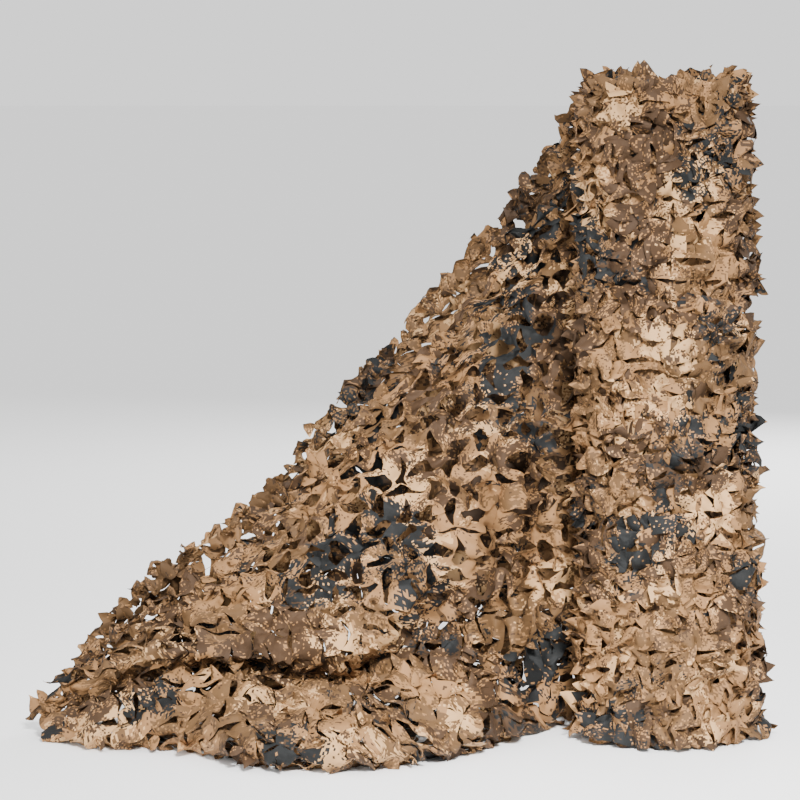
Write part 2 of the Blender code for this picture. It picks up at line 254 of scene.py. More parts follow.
# What is the same for every cut.
MOST_END_TIP = 0.4
SELVAGE_BOW = -0.7
SELVAGE_DEPTH = 0.6
LEAF_SLIDE = 0.05
LEAF_SLIDE_BY_PULL = 2.8
LEAF_SHARPNESS = 1.3
LEAF_CURL = 0.30
LEAF_CURL_SHARPNESS = 5
LEAF_STAND = 0.50
BRIDGE_SHARE = 0.3
WIDE_BRIDGES = 0.5


def even_shares(columns, rows):
    """Shares of a length and of a width, from 0 to 1, at every point of a grid."""
    return np.meshgrid(np.linspace(0, 1, columns + 1), np.linspace(0, 1, rows + 1), indexing="ij")


def cut_shapes(columns, rows, dice, tip):
    """For every lattice point: whether its cut runs lengthwise, how far its leaf bulges to one side, the
    share of that by which the cut's edges bow, and the cut's place on the flat cloth. Along the selvages
    and the ends the cloth's own edge stands out in tips."""
    along, across = np.meshgrid(np.arange(columns + 1), np.arange(rows + 1), indexing="ij")
    lengthwise = (along + across) % 2 == 0
    shape = along.shape
    side = dice.choice((-1.0, 1.0), shape)
    bulge = side * dice.uniform(*LEAF_DEPTH, shape)
    bow = dice.uniform(*LEAF_BOW, shape)
    wander = dice.uniform(*CUT_WANDER, shape)
    for row, sense in ((0, -1.0), (rows, 1.0)):
        reach = sense * dice.uniform(*SELVAGE_TIP, columns + 1) * tip
        bulge[:, row] = np.where(lengthwise[:, row], reach, bulge[:, row] * SELVAGE_DEPTH)
        bow[:, row] = np.where(lengthwise[:, row], SELVAGE_BOW, bow[:, row])
    for column, sense in ((0, -1.0), (columns, 1.0)):
        reach = sense * dice.uniform(*END_TIP, rows + 1) * min(tip, MOST_END_TIP)
        bulge[column, :] = np.where(lengthwise[column, :], bulge[column, :] * SELVAGE_DEPTH, reach)
    corner = np.stack((along + np.where(lengthwise, wander, bulge),
                       across + np.where(lengthwise, bulge, wander)), axis=-1)
    return lengthwise, bulge, bow, corner


def cut_lips(lengthwise, bulge, dice, pull, lift, outward_share):
    """How the two lips of every cut move (along, across, off the cloth): the one before it, the one after it.

    One lip is the tongue, which turns out. The other is the cloth opposite, which lies back."""
    tongue_first = bulge > 0
    usual = dice.uniform(*USUAL_LIFT, bulge.shape)
    weaker = dice.uniform(*WEAKER_LIFT, bulge.shape)
    outward = dice.uniform(0, 1, bulge.shape) < outward_share
    to_front, to_back = (usual, weaker) if outward_share > 0.5 else (weaker, usual)
    turned = np.where(outward, to_front, -to_back) * lift
    opposite = dice.uniform(*OPPOSITE_LIFT, bulge.shape) * lift
    spread = pull * dice.uniform(*PULL_SPREAD, bulge.shape)
    leaf_slide = (LEAF_SLIDE + LEAF_SLIDE_BY_PULL * pull) * np.abs(turned)
    lips = []
    for is_tongue, away in ((tongue_first, -1.0), (~tongue_first, 1.0)):
        height = np.where(is_tongue, turned, opposite)
        slide = away * (spread + np.where(is_tongue, leaf_slide, 0.0))
        lips.append(np.stack((np.where(lengthwise, 0.0, slide), np.where(lengthwise, slide, 0.0), height),
                             axis=-1))
    return lips


def cell_corner(values, which):
    """Values at one corner of every cell: 0 and 1 along its first side, 2 and 3 along its second."""
    columns = values.shape[0] - 1
    rows = values.shape[1] - 1
    start = which % 2
    low = which // 2
    return values[start:columns + start, low:rows + low]


def cell_surfaces(lengthwise, bows, corner, lips, steps):
    """Flat places (along, across) and places of the pulled net (along, across, off the cloth) of every cell,
    at steps along both of its sides."""
    u, v = even_shares(steps, steps)
    weights = ((1 - u) * (1 - v), u * (1 - v), (1 - u) * v, u * v)

    # The cell's edges are bowed to the cuts that run along them.
    is_length = [cell_corner(lengthwise, which)[:, :, None, None] for which in range(4)]
    bow = [cell_corner(bows, which)[:, :, None, None] for which in range(4)]
    flat = sum(cell_corner(corner, which)[:, :, None, None, :] * weights[which][..., None]
               for which in range(4))
    low_edge = np.where(is_length[0], bow[0], bow[1])
    high_edge = np.where(is_length[2], bow[2], bow[3])
    left_edge = np.where(is_length[0], bow[2], bow[0])
    right_edge = np.where(is_length[1], bow[3], bow[1])
    flat[..., 1] += u * (1 - u) * ((1 - v) * low_edge + v * high_edge)
    flat[..., 0] += v * (1 - v) * ((1 - u) * left_edge + u * right_edge)

    # The first corner of a cell is always past its cut, the last always before it. A raised corner is
    # pointed, and its tip curls back.
    before, after = lips
    lip_of = (after,
              np.where(lengthwise[..., None], after, before),
              np.where(lengthwise[..., None], before, after),
              before)
    raised = [weight ** LEAF_SHARPNESS for weight in weights]
    raised_sum = sum(raised)
    place = np.zeros(flat.shape[:-1] + (3,))
    place[..., :2] = flat
    for which in range(4):
        lip = cell_corner(lip_of[which], which)[:, :, None, None, :]
        place[..., :2] += lip[..., :2] * weights[which][..., None]
        curl = LEAF_CURL * weights[which] ** LEAF_CURL_SHARPNESS
        place[..., 2] += lip[..., 2] * (raised[which] / raised_sum - curl)
    return flat, place


def bridged_numbers(lengthwise, steps, dice):
    """A number for every point of every cell. Where cloth bridges two cells, at the end of the edge where the
    cut between them stops, their points have the same number."""
    columns = lengthwise.shape[0] - 1
    rows = lengthwise.shape[1] - 1
    shape = (columns, rows, steps + 1, steps + 1)
    number = np.arange(math.prod(shape)).reshape(shape)
    joined = number.copy()
    starts = lengthwise[1:columns, :rows]
    ends = ~lengthwise[:columns, 1:rows]
    wide_starts = dice.uniform(0, 1, starts.shape) < WIDE_BRIDGES
    wide_ends = dice.uniform(0, 1, ends.shape) < WIDE_BRIDGES
    bridge = max(1, round(steps * BRIDGE_SHARE))
    for step in range(bridge + 1):
        held_starts = wide_starts | (step < bridge)
        held_ends = wide_ends | (step < bridge)
        near = number[:-1, :, steps, step]
        far = number[:-1, :, steps, steps - step]
        joined[1:, :, 0, step] = np.where(starts & held_starts, near, joined[1:, :, 0, step])
        joined[1:, :, 0, steps - step] = np.where(~starts & held_starts, far, joined[1:, :, 0, steps - step])
        near = number[:, :-1, step, steps]
        far = number[:, :-1, steps - step, steps]
        joined[:, 1:, step, 0] = np.where(ends & held_ends, near, joined[:, 1:, step, 0])
        joined[:, 1:, steps - step, 0] = np.where(~ends & held_ends, far, joined[:, 1:, steps - step, 0])

    # A corner shared by more than two cells is followed through to its first number.
    followed = joined.ravel()
    while (followed[followed] != followed).any():
        followed = followed[followed]
    return followed.reshape(shape)


def quads(numbers):
    """The four numbers round every square of a grid, or of a stack of grids."""
    return np.stack((numbers[..., :-1, :-1], numbers[..., 1:, :-1], numbers[..., 1:, 1:],
                     numbers[..., :-1, 1:]), axis=-1)


def leaf_cut_net(columns, rows, steps, dice, pull, lift, tip, ruffle, kept_cells=None, outward_share=0.8):
    """A net of cells: places (along, across, off the cloth) and flat places of its points, and its faces.

    pull and lift have one value, or one at each lattice point, in cells. tip is how far the leaves stand past
    the selvage, and ruffle how far the cells tilt. Only the kept cells get faces. outward_share of the
    tongues turn to the side that shows, the others to the back."""
    lengthwise, bulge, bow, corner = cut_shapes(columns, rows, dice, tip)
    lips = cut_lips(lengthwise, bulge, dice, pull, lift, outward_share)
    flat, place = cell_surfaces(lengthwise, bulge * bow, corner, lips, steps)
    u, v = even_shares(steps, steps)
    tilt = dice.uniform(-ruffle, ruffle, (3, columns, rows))[..., None, None]
    place[..., 2] += (tilt[0] * (u - 0.5) * 2 + tilt[1] * (v - 0.5) * 2
                      + tilt[2] * 16 * u * (1 - u) * v * (1 - v))
    place[..., 2] = LEAF_STAND * np.tanh(place[..., 2] / LEAF_STAND)
    joined = bridged_numbers(lengthwise, steps, dice)
    faces = quads(joined)
    if kept_cells is not None:
        faces = faces[kept_cells]
    used, faces = np.unique(faces, return_inverse=True)
    sharing = np.bincount(joined.ravel(), minlength=joined.size)[used, None]

    def merged(values):
        """Values at the points in use, each the mean over the cells that share the point."""
        sums = [np.bincount(joined.ravel(), weights=values[..., axis].ravel(), minlength=joined.size)
                for axis in range(values.shape[-1])]
        return np.stack(sums, axis=-1)[used] / sharing

    return {"columns": columns, "rows": rows, "places": merged(place), "flats": merged(flat),
            "faces": faces.reshape(-1, 4)}


def read_grid(grid, along, across):
    """Values of a grid at shares of its length and width, carried on straight past its edges."""
    columns = grid.shape[0] - 1
    rows = grid.shape[1] - 1
    column = np.clip(np.floor(along * columns).astype(int), 0, columns - 1)
    row = np.clip(np.floor(across * rows).astype(int), 0, rows - 1)
    u = (along * columns - column)[:, None]
    v = (across * rows - row)[:, None]
    return (grid[column, row] * (1 - u) * (1 - v) + grid[column + 1, row] * u * (1 - v)
            + grid[column, row + 1] * (1 - u) * v + grid[column + 1, row + 1] * u * v)


def unit_length(vectors):
    """Vectors drawn to a length of 1, unless they have almost none."""
    return vectors / np.maximum(np.linalg.norm(vectors, axis=-1, keepdims=True), 1e-9)


def surface_normals(grid):
    """Unit normals of a grid of points, on the side of the net that shows."""
    return unit_length(np.cross(np.gradient(grid, axis=0), np.gradient(grid, axis=1)))


SWELL_WAVES = 14
SWELL_PEAK = 1.6
FOLD_WAVES = 4
FOLD_PEAK = 2.2
WAVE_LENGTHS = (0.7, 1.5)
CREASE_LENGTH = 0.060
CREASE_DEPTH = 0.0044
PUCKER_LENGTH = 0.021
PUCKER_DEPTH = 0.0009


def plane_waves(points, wavelength, seed, count):
    """Angles at the points of some plane waves in all directions, whose lengths are near the wavelength."""
    dice = np.random.default_rng(seed)
    for _ in range(count):
        direction = dice.normal(size=3)
        direction *= 2 * math.pi / (wavelength * dice.uniform(*WAVE_LENGTHS) * np.linalg.norm(direction))
        yield points @ direction + dice.uniform(0, 2 * math.pi)


def soft_waves(points, wavelength, seed):
    """A smooth uneven swell between about -1 and 1."""
    total = sum(np.sin(angle) for angle in plane_waves(points, wavelength, seed, SWELL_WAVES))
    return total / math.sqrt(SWELL_WAVES / 2) / SWELL_PEAK


def sharp_folds(points, wavelength, seed):
    """Like soft_waves, with flat facets that meet in sharp ridges."""
    return sum(np.arcsin(np.sin(angle)) / FOLD_PEAK
               for angle in plane_waves(points, wavelength, seed, FOLD_WAVES))


def crumpled(points, seed, strength):
    """Points moved by the creases and puckers of handled cloth, which at a strength of 1 are as deep as
    CREASE_DEPTH and PUCKER_DEPTH say."""
    bends = [sharp_folds(points, CREASE_LENGTH, seed + axis) * CREASE_DEPTH
             + soft_waves(points, PUCKER_LENGTH, seed + axis + 3) * PUCKER_DEPTH
             for axis in range(3)]
    return points + np.stack(bends, axis=1) * strength


FLOOR_CLEAR = 0.0008
MAP_MARGIN = 0.002


def store_vectors(mesh, name, vectors):
    """Keeps a vector for each point of a mesh."""
    layer = mesh.attributes.new(name, "FLOAT_VECTOR", "POINT")
    layer.data.foreach_set("vector", vectors.astype(np.float32).ravel())


def add_object(name, data):
    """A new object at the origin."""
    made = bpy.data.objects.new(name, data)
    bpy.context.scene.collection.objects.link(made)
    return made


def lay_net(name, grid, net, print_start, material, seed, crumple):
    """One piece of leaf-cut net, laid on a grid of points. Leaves may stand past the grid's edges.

    print_start is the piece's place on the printed cloth, in metres."""
    places = net["places"]
    flats = net["flats"]
    faces = net["faces"]
    along = places[:, 0] / net["columns"]
    across = places[:, 1] / net["rows"]
    held = (np.clip(along, 0, 1), np.clip(across, 0, 1))
    normals = unit_length(read_grid(surface_normals(grid), *held))
    points = read_grid(grid, along, across) + normals * (places[:, 2] * CUT_PITCH)[:, None]
    points = crumpled(points, seed, read_grid(crumple[..., None], *held))
    points[:, 2] = np.maximum(points[:, 2], FLOOR_CLEAR)
    mesh = bpy.data.meshes.new(name)
    mesh.from_pydata(points.tolist(), [], faces.tolist())
    mesh.polygons.foreach_set("use_smooth", [True] * len(faces))
    print_place = np.zeros((len(flats), 3))
    print_place[:, :2] = flats * CUT_PITCH + np.array(print_start)
    store_vectors(mesh, "print_place", print_place)
    # The cloth lies flat and uncut in this map, just inside one unit square for the piece.
    low = flats.min(axis=0)
    sheet = (flats - low) / (flats.max(axis=0) - low).max() * (1 - 2 * MAP_MARGIN) + MAP_MARGIN
    flat_map = mesh.uv_layers.new(name="OFBake")
    flat_map.data.foreach_set("uv", sheet[faces.ravel()].astype(np.float32).ravel())
    mesh.materials.append(material)
    return add_object(name, mesh)


# ==== Turned leaves =====================================================================================
# Many leaves have turned right over and stand on the cloth in all directions. Each is a pointed tongue of
# the same cloth, curled along its length and joined to the net at its broad end.
LEAF_LENGTH = 0.038
LEAF_POINTS = 5

# The shape of a leaf, in lengths of the leaf.
LEAF_HALF_WIDTH = 0.50
LEAF_TAPER = 0.75
LEAF_BELLY = 0.08
LEAF_TIP_HALF_WIDTH = 0.06
LEAF_CUP = 0.34
LEAF_RISE = 0.36
LEAF_TWIST = 0.16
LEAF_HOOK = 0.12


def leaf_blank():
    """One curled leaf a unit long, its broad end at the origin."""
    across, along = np.meshgrid(np.linspace(-1, 1, LEAF_POINTS), np.linspace(0, 1, LEAF_POINTS),
                                indexing="ij")
    half = (LEAF_HALF_WIDTH * (1 - along) ** LEAF_TAPER + LEAF_BELLY * np.sin(math.pi * along)
            + LEAF_TIP_HALF_WIDTH)
    rise = LEAF_RISE * along ** 2 - LEAF_CUP * across ** 2 * half + LEAF_TWIST * across * along
    points = np.stack((across * half + LEAF_HOOK * along ** 2, along, rise), axis=-1).reshape(-1, 3)
    faces = quads(np.arange(len(points)).reshape(across.shape)).reshape(-1, 4)
    mesh = bpy.data.meshes.new("leaf_blank")
    mesh.from_pydata(points.tolist(), [], faces.tolist())
    mesh.polygons.foreach_set("use_smooth", [True] * len(faces))
    store_vectors(mesh, "print_place", points * (LEAF_LENGTH, LEAF_LENGTH, 0.0))
    return add_object("leaf_blank", mesh)


LEAST_TILT = 0.12
LEAF_LEAN = 0.35
LEAF_SIZES = (0.65, 1.3)


def leaf_tree():
    """Node tree that stands a leaf on every point, each turned, tilted and sized at random."""
    tree = bpy.data.node_groups.new("turned_leaves", "GeometryNodeTree")
    for label, kind in (("Geometry", "Geometry"), ("Leaf", "Object"), ("Cloth", "Material"),
                        ("Leaf Length", "Float"), ("Least Tilt", "Float"), ("Most Tilt", "Float"),
                        ("Seed", "Int")):
        tree.interface.new_socket(label, in_out="INPUT", socket_type="NodeSocket" + kind)
    tree.interface.new_socket("Geometry", in_out="OUTPUT", socket_type="NodeSocketGeometry")

    def add(kind, settings=None, **links):
        """A node with its settings, and values or links for its inputs, by name or as i and a number."""
        node = tree.nodes.new(kind)
        for key, value in (settings or {}).items():
            setattr(node, key, value)
        for key, value in links.items():
            numbered = key[0] == "i" and key[1:].isdigit()
            socket = node.inputs[int(key[1:]) if numbered else key]
            if isinstance(value, bpy.types.NodeSocket):
                tree.links.new(value, socket)
            else:
                socket.default_value = value
        return node

    given = add("NodeGroupInput").outputs
    facing, shift, place = [add("GeometryNodeInputNamedAttribute", {"data_type": "FLOAT_VECTOR"}, Name=name)
                            for name in ("facing", "print_shift", "print_place")]
    low = add("ShaderNodeCombineXYZ", i0=given["Least Tilt"], i1=-LEAF_LEAN, i2=-math.pi)
    high = add("ShaderNodeCombineXYZ", i0=given["Most Tilt"], i1=LEAF_LEAN, i2=math.pi)
    turn = add("FunctionNodeRandomValue", {"data_type": "FLOAT_VECTOR"}, i0=low.outputs[0],
               i1=high.outputs[0], Seed=given["Seed"])
    size = add("FunctionNodeRandomValue", {"data_type": "FLOAT"}, i2=LEAF_SIZES[0], i3=LEAF_SIZES[1],
               Seed=given["Seed"])
    length = add("ShaderNodeMath", {"operation": "MULTIPLY"}, i0=size.outputs[1], i1=given["Leaf Length"])
    upright = add("FunctionNodeAlignRotationToVector", {"axis": "Z"}, Vector=facing.outputs[0])
    turned = add("FunctionNodeEulerToRotation", i0=turn.outputs[0])
    stood = add("FunctionNodeRotateRotation", {"rotation_space": "LOCAL"}, i0=upright.outputs[0],
                i1=turned.outputs[0])
    shape = add("GeometryNodeObjectInfo", Object=given["Leaf"])
    copies = add("GeometryNodeInstanceOnPoints", Points=given["Geometry"], Instance=shape.outputs["Geometry"],
                 Rotation=stood.outputs[0], Scale=length.outputs[0])
    real = add("GeometryNodeRealizeInstances", Geometry=copies.outputs[0])
    moved = add("ShaderNodeVectorMath", {"operation": "ADD"}, i0=place.outputs[0], i1=shift.outputs[0])
    printed = add("GeometryNodeStoreNamedAttribute", {"data_type": "FLOAT_VECTOR", "domain": "POINT"},
                  Geometry=real.outputs[0], Name="print_place", Value=moved.outputs[0])
    finished = add("GeometryNodeSetMaterial", Geometry=printed.outputs[0], Material=given["Cloth"])
    out = add("NodeGroupOutput")
    tree.links.new(finished.outputs[0], out.inputs[0])
    return tree


LEAF_ROOT_RISE = 0.004
LEAF_ROOT_LEAST_Z = 0.012
PRINT_SCATTER = 0.03
LEAF_CRUMPLE = 0.6
leaf = leaf_blank()
leaf_nodes = leaf_tree()


def stand_leaves(name, grid, shares, downs, size, print_start, cloth, length, most_tilt, seed, side=1.0):
    """Leaves stood on a grid of points at the given shares of its length and width. Each takes the print of
    its place on the flat cloth, whose size is given in cells. side is 1 on the side that shows, -1 behind."""
    dice = np.random.default_rng(seed)
    points = read_grid(grid, shares, downs)
    facing = read_grid(surface_normals(grid), shares, downs)
    facing *= side / np.linalg.norm(facing, axis=1, keepdims=True)
    points += facing * LEAF_ROOT_RISE
    points[:, 2] = np.maximum(points[:, 2], LEAF_ROOT_LEAST_Z)
    mesh = bpy.data.meshes.new(name)
    mesh.from_pydata(points.tolist(), [], [])
    store_vectors(mesh, "facing", facing)
    shift = np.zeros((len(points), 3), dtype=np.float32)
    shift[:, 0] = shares * size[0] * CUT_PITCH + print_start[0]
    shift[:, 1] = downs * size[1] * CUT_PITCH + print_start[1]
    shift[:, :2] += dice.uniform(-PRINT_SCATTER, PRINT_SCATTER, (len(points), 2))
    store_vectors(mesh, "print_shift", shift)
    piece = add_object(name, mesh)
    grown = piece.modifiers.new("turned_leaves", "NODES")
    grown.node_group = leaf_nodes
    sockets = {item.name: item.identifier for item in leaf_nodes.interface.items_tree
               if item.in_out == "INPUT"}
    for label, value in (("Leaf", leaf), ("Leaf Length", length), ("Cloth", cloth),
                         ("Least Tilt", LEAST_TILT), ("Most Tilt", most_tilt), ("Seed", seed)):
        grown[sockets[label]] = value
    graph = bpy.context.evaluated_depsgraph_get()
    made = bpy.data.meshes.new_from_object(piece.evaluated_get(graph), preserve_all_data_layers=True,
                                           depsgraph=graph)
    piece.modifiers.remove(grown)
    piece.data = made
    places = np.zeros(len(made.vertices) * 3)
    made.vertices.foreach_get("co", places)
    places = crumpled(places.reshape(-1, 3), seed, LEAF_CRUMPLE)
    places[:, 2] = np.maximum(places[:, 2], FLOOR_CLEAR)
    made.vertices.foreach_set("co", places.ravel())
    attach(piece, "root")
    return piece


# ==== Outer turns of the roll ===========================================================================
# The two plies are wound together on no core, and the roll stands on its lower selvage. Each turn is the
# same net, relaxed, so its leaves overlap like scales and only dark crescents show between them.
ROLL_RADIUS = 0.198
ROLL_TOP = 1.474
ROLL_FOOT = 0.012
FOOT_FLARE = 0.016
FOOT_FLARE_HEIGHT = 0.22
RIM_ROUNDING = 0.030
RIM_ROUNDING_HEIGHT = 0.05
RIM_WAVE = 0.008
RIM_WAVE_START = 1.68
ROLL_TWIST = 0.004
ROLL_LEAN = 0.015
ROLL_LEAN_HEIGHT = 0.65
ROLL_LEAN_BLEND = 0.06
FOOT_LEAN_SHARE = 0.3
SEAT_Y = 0.192
TURN_CLEARANCE = 0.002
BACK_ANGLE = math.pi / 2

# Wavelength and depth of each swell of the roll's surface.
ROLL_SWELLS = ((0.07, 0.005), (0.16, 0.006), (0.45, 0.003))


def turn_grid(inset, seed):
    """Middle of one turn, from the back round the right side, the front and the left side to the back."""
    share, down = even_shares(columns=120, rows=90)
    angle = BACK_ANGLE - 2 * math.pi * share
    height = ROLL_TOP + (ROLL_FOOT - ROLL_TOP) * down
    radius = (ROLL_RADIUS - inset + FOOT_FLARE * np.exp(-height / FOOT_FLARE_HEIGHT)
              - RIM_ROUNDING * np.exp((height - ROLL_TOP) / RIM_ROUNDING_HEIGHT)
              + ROLL_TWIST * np.sin(2 * angle + 4 * math.pi * height / ROLL_TOP))
    rim = RIM_WAVE * np.cos(4 * angle + RIM_WAVE_START) * np.exp((height - ROLL_TOP) / RIM_ROUNDING_HEIGHT)
    lean = ROLL_LEAN * (FOOT_LEAN_SHARE - 1.0 / (1.0 + np.exp((ROLL_LEAN_HEIGHT - height) / ROLL_LEAN_BLEND)))
    grid = np.stack((radius * np.cos(angle) + lean, radius * np.sin(angle), height + rim), axis=-1)
    swell = sum(soft_waves(grid, wavelength, seed + number) * depth
                for number, (wavelength, depth) in enumerate(ROLL_SWELLS))
    grid[..., 0] += swell * np.cos(angle)
    grid[..., 1] += swell * np.sin(angle)
    grid[..., 1] = np.minimum(grid[..., 1], SEAT_Y - TURN_CLEARANCE - inset)
    return grid


# Leaves lie close at the seat, and stand out more towards the foot and the rim.
SEAT_SHARE = 0.055
SEAT_LIFT = 0.06
FOOT_MORE_LIFT = 0.25
FOOT_LIFT_SHARE = 0.08
RIM_MORE_LIFT = 0.30
RIM_LIFT_SHARE = 0.12
TURN_TIP = 0.75
TURN_RUFFLE = 0.26
TURN_CRUMPLE = 0.55

# Where turned leaves stand, as shares of the way round the roll and of the way down it.
LEAVES_ROUND = (0.06, 0.94)
LEAVES_DOWN = (0.01, 0.985)
RIM_LEAVES_DOWN = (0.0, 0.05)
ROLL_MOST_TILT = 0.42
LEAF_SEED = 40


def wind_turn(name, columns, rows, inset, steps, lift, pull, seed, print_start, leaves=0, rim_leaves=0):
    """One turn of the net round the roll, with the turned leaves that stand on it."""
    shares, downs = even_shares(columns, rows)
    at_seat = np.minimum(shares, 1 - shares) < SEAT_SHARE
    lifts = np.where(at_seat, SEAT_LIFT, lift) * (
        1 + FOOT_MORE_LIFT * np.exp(-((1 - downs) / FOOT_LIFT_SHARE) ** 2)
        + RIM_MORE_LIFT * np.exp(-(downs / RIM_LIFT_SHARE) ** 2))
    net = leaf_cut_net(columns, rows, steps, np.random.default_rng(seed), pull, lifts, TURN_TIP, TURN_RUFFLE)
    grid = turn_grid(inset, seed)
    turn = lay_net(name, grid, net, print_start, open_cloth, seed, np.full(shares.shape, TURN_CRUMPLE))
    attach(turn, "root")
    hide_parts("wound_roll")
    on_turn = []
    if leaves:
        dice = np.random.default_rng(seed + LEAF_SEED)
        leaf_downs = np.concatenate((dice.uniform(*LEAVES_DOWN, leaves),
                                     dice.uniform(*RIM_LEAVES_DOWN, rim_leaves)))
        leaf_shares = dice.uniform(*LEAVES_ROUND, leaves + rim_leaves)
        on_turn = [stand_leaves("roll_leaves", grid, leaf_shares, leaf_downs, (columns, rows), print_start,
                                open_cloth, LEAF_LENGTH, ROLL_MOST_TILT, seed)]


wind_turn("outer_turn", columns=28, rows=34, inset=0.013, steps=8, lift=0.64, pull=0.09, seed=5,
          print_start=(14.5, 11.7), leaves=850, rim_leaves=200)
wind_turn("second_turn", columns=25, rows=31, inset=0.030, steps=6, lift=0.30, pull=-0.05, seed=6,
          print_start=(10.2, 0.4))


# The inner turns show only at the two ends, where their selvages lie in one long spiral.
TURN_GAP = 0.010
SPIRAL_OUTER = 0.156
SPIRAL_INNER = 0.012
SPIRAL_STEP = 0.014
SELVAGE_WAVE = 0.007
SELVAGE_WAVE_LENGTH = 0.10
TURN_RIPPLE = 0.002
TURN_RIPPLE_LENGTH = 0.05
UPPER_END_DROP = 0.012
LOWER_END_HEIGHT = 0.064
END_LEAST_Z = 0.008
END_STEPS = 5
END_LIFT = 0.14
END_TIP_REACH = 0.40
END_RUFFLE = 0.04
END_CRUMPLE = 0.5


def spiral_grid(high, low, seed):
    """Middle of the inner turns between two heights, from the outside in."""
    length = math.pi * (SPIRAL_OUTER ** 2 - SPIRAL_INNER ** 2) / TURN_GAP
    share, down = even_shares(columns=round(length / SPIRAL_STEP), rows=8)
    radius = np.sqrt(SPIRAL_OUTER ** 2 + (SPIRAL_INNER ** 2 - SPIRAL_OUTER ** 2) * share)
    angle = BACK_ANGLE - 2 * math.pi * (SPIRAL_OUTER - radius) / TURN_GAP
    grid = np.stack((radius * np.cos(angle), radius * np.sin(angle), high + (low - high) * down), axis=-1)
    grid[..., 2] += soft_waves(grid * (1, 1, 0), SELVAGE_WAVE_LENGTH, seed) * SELVAGE_WAVE
    ripple = soft_waves(grid, TURN_RIPPLE_LENGTH, seed + 1) * TURN_RIPPLE
    grid[..., 0] += ripple * np.cos(angle)
    grid[..., 1] += ripple * np.sin(angle)
    return grid, length


def wind_end(name, high, rows, seed, print_start):
    """The selvages of the inner turns at one end of the roll, from a height down by some rows of cuts."""
    grid, length = spiral_grid(high, max(high - rows * CUT_PITCH, END_LEAST_Z), seed)
    columns = round(length / CUT_PITCH)
    net = leaf_cut_net(columns, rows, END_STEPS, np.random.default_rng(seed), 0.0, END_LIFT, END_TIP_REACH,
                       END_RUFFLE)
    wound_end = lay_net(name, grid, net, print_start, open_cloth, seed,
                        np.full((columns + 1, rows + 1), END_CRUMPLE))
    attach(wound_end, "root")
    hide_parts("wound_roll")


wind_end("upper_wound_end", high=ROLL_TOP - UPPER_END_DROP, rows=3, seed=51, print_start=(30.6, 1.1))
wind_end("lower_wound_end", high=LOWER_END_HEIGHT, rows=1, seed=52, print_start=(31.2, 1.1))


# ==== Plies of the loose length =========================================================================
# Both plies leave the roll at its back, hang by their upper edges and pile on the floor. The front ply
# folds over itself above the pile and rolls out to the front. Each ply is cut down to its drape: its
# upper edge runs slantwise through the lattice, so cut leaves stand along it.
PLY_THICKNESS = 0.003
PIECE_GAP = 0.0003
FLOOR_Z = PLY_THICKNESS / 2
FRONT_SEAT = SEAT_Y + PIECE_GAP + PLY_THICKNESS / 2
BACK_SEAT = FRONT_SEAT + PLY_THICKNESS + PIECE_GAP
SEAT_END_X = -0.135
SECTION_SAMPLES = 240
PANEL_Y_SHARE = 0.40
PANEL_Z_SHARE = 0.50
HEEL_Y_SHARE = 0.22
HEEL_Z_SHARE = 0.12
LEAN_SHARES = (0.3, 0.6, 0.7, 0.8)
SEATED_HEIGHTS = (0.90, 0.62, 0.38, 0.16)

# A section runs down a ply from its top edge to the brow above its pile, in to the crease, out over the lobe
# and its toe, and back under itself as a tail on the floor.
SECTION_COLUMNS = ("top_x", "top_y", "top_z", "foot_x", "brow_y", "brow_z", "crease_y", "crease_z",
                   "lobe_y", "lobe_z", "toe_y", "toe_z", "tail_y")


def seated_section(x, y, top_z):
    """A section that lies straight down the roll's seat."""
    brow_z, crease_z, lobe_z, toe_z = SEATED_HEIGHTS
    return (x, y, top_z, x, y, brow_z, y, crease_z, y, lobe_z, y, toe_z, y)


FRONT_SECTIONS = (
    seated_section(0.030, FRONT_SEAT, 1.470),
    seated_section(-0.060, FRONT_SEAT, 1.450),
    (-0.200, 0.200, 1.300, -0.200, 0.190, 0.84, 0.185, 0.58, 0.170, 0.35, 0.150, 0.14, 0.190),
    (-0.290, 0.190, 1.165, -0.275, 0.130, 0.76, 0.130, 0.50, 0.100, 0.29, 0.050, 0.11, 0.120),
    (-0.380, 0.175, 1.055, -0.355, 0.070, 0.66, 0.070, 0.42, 0.010, 0.24, -0.110, 0.08, 0.060),
    (-0.490, 0.150, 0.910, -0.455, 0.000, 0.52, 0.005, 0.32, -0.100, 0.19, -0.300, 0.05, 0.000),
    (-0.600, 0.130, 0.805, -0.560, -0.075, 0.35, -0.040, 0.22, -0.185, 0.16, -0.400, 0.045, -0.075),
    (-0.730, 0.100, 0.675, -0.680, -0.140, 0.23, -0.050, 0.145, -0.230, 0.135, -0.475, 0.045, -0.090),
    (-0.870, 0.080, 0.515, -0.810, -0.145, 0.21, -0.045, 0.140, -0.230, 0.135, -0.470, 0.045, -0.085),
    (-1.000, 0.060, 0.390, -0.945, -0.125, 0.21, -0.025, 0.150, -0.205, 0.145, -0.425, 0.050, -0.035),
    (-1.100, 0.050, 0.330, -1.045, -0.105, 0.205, -0.010, 0.150, -0.145, 0.150, -0.285, 0.050, 0.030),
    (-1.210, 0.035, 0.255, -1.150, -0.090, 0.190, 0.000, 0.140, -0.110, 0.140, -0.205, 0.050, 0.060),
    (-1.320, 0.030, 0.170, -1.265, -0.060, 0.135, -0.015, 0.090, -0.100, 0.095, -0.195, 0.035, 0.030),
    (-1.442, 0.040, 0.045, -1.395, 0.000, 0.048, 0.012, 0.036, -0.030, 0.034, -0.085, 0.015, -0.030),
)
